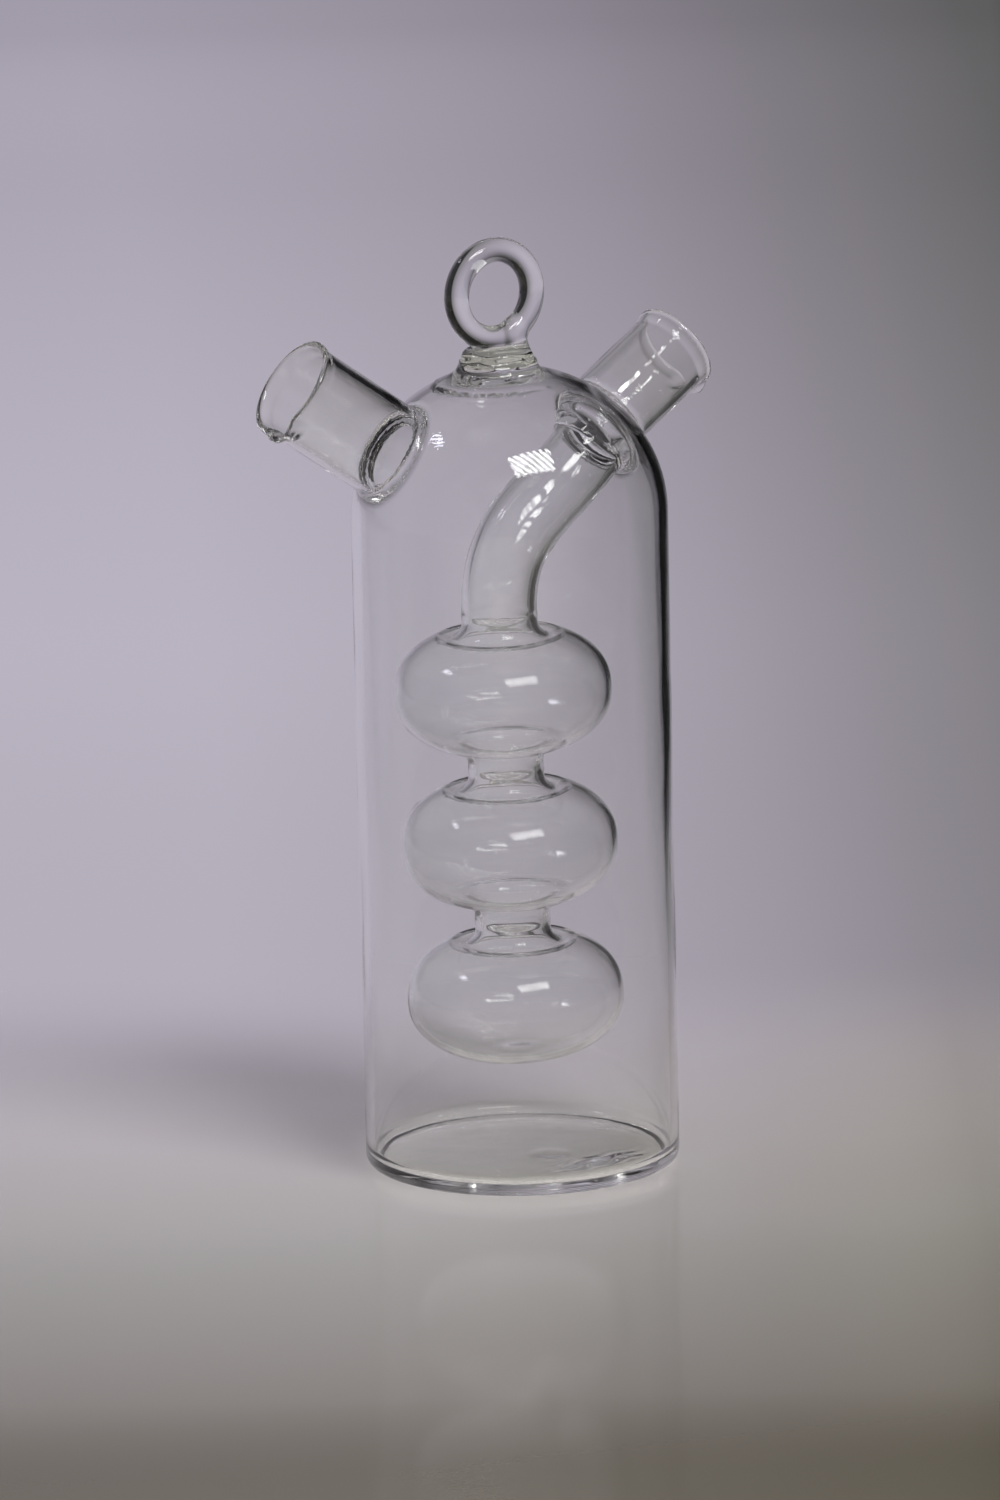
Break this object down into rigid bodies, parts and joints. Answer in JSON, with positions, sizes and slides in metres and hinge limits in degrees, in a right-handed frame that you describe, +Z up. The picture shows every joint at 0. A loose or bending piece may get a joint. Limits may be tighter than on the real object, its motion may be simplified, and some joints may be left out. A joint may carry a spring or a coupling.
{
  "type": "dual oil and vinegar dispenser",
  "caption": "Clear glass bottle with a stacked-bulb vessel fused inside it, so oil and vinegar pour from two opposite spouts, with a lifting loop on the crown.",
  "frame": {"origin": "centre of the flat underside of the base, where the bottle stands", "axes": "+Z up along the bottle's axis; X along the mean line of the two spouts, with the wider spout on -X and the inner vessel's spout on +X; both spouts sweep a little towards +Y"},
  "size_m": [0.0925, 0.057, 0.17],
  "materials": {
    "clear_glass": "clear, fire-polished",
    "thick_glass": "clear with a faint green cast where thick, fire-polished"
  },
  "bodies": {
    "root": {"outer_vessel": "clear_glass", "base_disc": "thick_glass", "left_spout": "clear_glass", "right_spout": "clear_glass", "neck_tube": "clear_glass", "lower_bulb": "clear_glass", "middle_bulb": "clear_glass", "upper_bulb": "clear_glass", "top_button": "thick_glass", "hanging_loop": "clear_glass"}
  },
  "joints": []
}
